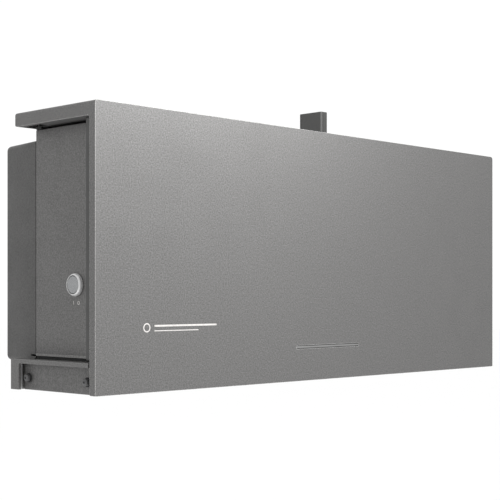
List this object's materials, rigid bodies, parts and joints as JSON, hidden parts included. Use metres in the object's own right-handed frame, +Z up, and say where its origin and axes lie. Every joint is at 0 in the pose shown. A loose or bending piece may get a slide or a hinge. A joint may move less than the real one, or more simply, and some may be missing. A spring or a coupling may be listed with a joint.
{
  "type": "wall-hung hybrid inverter",
  "caption": "Wide flat wall-hung inverter with an overhanging sheet cover, finned rear housing, push button, plug-in radio stick and base brackets.",
  "frame": {"origin": "centre of the wall bracket's rear face, on the wall plane", "axes": "+X to the right seen from the front, +Y into the wall, +Z up; the front faces -Y"},
  "size_m": [0.68, 0.183, 0.3356],
  "materials": {
    "cover_coat": "fine-textured powder coat, satin",
    "bracket_coat": "fine-textured powder coat, satin",
    "body_paint": "fine-textured powder coat, satin",
    "rear_paint": "fine-textured powder coat, matt",
    "dark_plastic": "matt moulded",
    "black_plastic": "matt moulded",
    "light_bar": "translucent diffuser",
    "gasket_rubber": "matt foam rubber",
    "bare_aluminium": "milled",
    "zinc_steel": "zinc plated",
    "black_steel": "black zinc plated",
    "polished_bezel": "polished",
    "brushed_button": "brushed",
    "circuit_board": "solder mask",
    "winding_potting": "potted",
    "capacitor_sleeve": "heat-shrink sleeve"
  },
  "bodies": {
    "unit": {"body_housing": "body_paint", "body_lid": "bare_aluminium", "lid_gasket": "gasket_rubber", "top_seal": "gasket_rubber", "left_foot_seal": "gasket_rubber", "right_foot_seal": "gasket_rubber", "rear_housing": "rear_paint", "heat_sink": "bare_aluminium", "hanging_rail": "zinc_steel", "wall_bracket": "zinc_steel", "inlet_plate": "bare_aluminium", "solar_inlet_1": "black_plastic", "solar_inlet_2": "black_plastic", "battery_inlet": "black_plastic", "grid_gland": "black_plastic", "backup_gland": "black_plastic", "data_gland": "black_plastic", "cross_bar": "zinc_steel", "stick_socket": "black_plastic", "button_bezel": "polished_bezel", "button_nut": "zinc_steel", "button_switch": "black_plastic", "isolator_switch": "dark_plastic", "power_board": "circuit_board", "control_board": "circuit_board", "terminal_block": "black_plastic", "isolating_transformer": "winding_potting", "grid_filter_choke": "winding_potting", "lid_screw_1": "black_steel", "lid_screw_2": "black_steel", "lid_screw_3": "black_steel", "lid_screw_4": "black_steel", "lid_screw_5": "black_steel", "lid_screw_6": "black_steel", "left_base_bracket": "bracket_coat", "left_service_panel": "bracket_coat", "left_service_screw_1": "black_steel", "left_service_screw_2": "black_steel", "right_base_bracket": "bracket_coat", "right_service_panel": "bracket_coat", "right_service_screw_1": "black_steel", "right_service_screw_2": "black_steel", "storage_capacitor_1": "capacitor_sleeve", "storage_capacitor_2": "capacitor_sleeve", "storage_capacitor_3": "capacitor_sleeve", "boost_choke_1": "winding_potting", "boost_choke_2": "winding_potting", "grid_relay_1": "black_plastic", "grid_relay_2": "black_plastic", "power_module_1": "dark_plastic", "power_module_2": "dark_plastic"},
    "cover": {"front_cover": "cover_coat", "cap_tray": "dark_plastic", "carrier_frame": "dark_plastic", "light_guide": "light_bar", "light_holder": "black_plastic", "light_board": "circuit_board"},
    "button": {"button_cap": "brushed_button"},
    "stick": {"communication_stick": "dark_plastic"},
    "isolator": {"isolator_knob": "black_plastic"}
  },
  "joints": [
    {"name": "cover_pull", "type": "slide", "parent": "unit", "child": "cover", "axis": [0, -1, 0], "range_m": [0, 0.12]},
    {"name": "button_press", "type": "slide", "parent": "unit", "child": "button", "axis": [1, 0, 0], "range_m": [0, 0.0025], "stiffness_N_per_m": 900},
    {"name": "stick_pull", "type": "slide", "parent": "unit", "child": "stick", "axis": [0, 0, 1], "range_m": [0, 0.03]},
    {"name": "isolator_turn", "type": "hinge", "parent": "unit", "child": "isolator", "pos_m": [0.324, -0.11, -0.04], "axis": [1, 0, 0], "range_deg": [0, 90]}
  ]
}
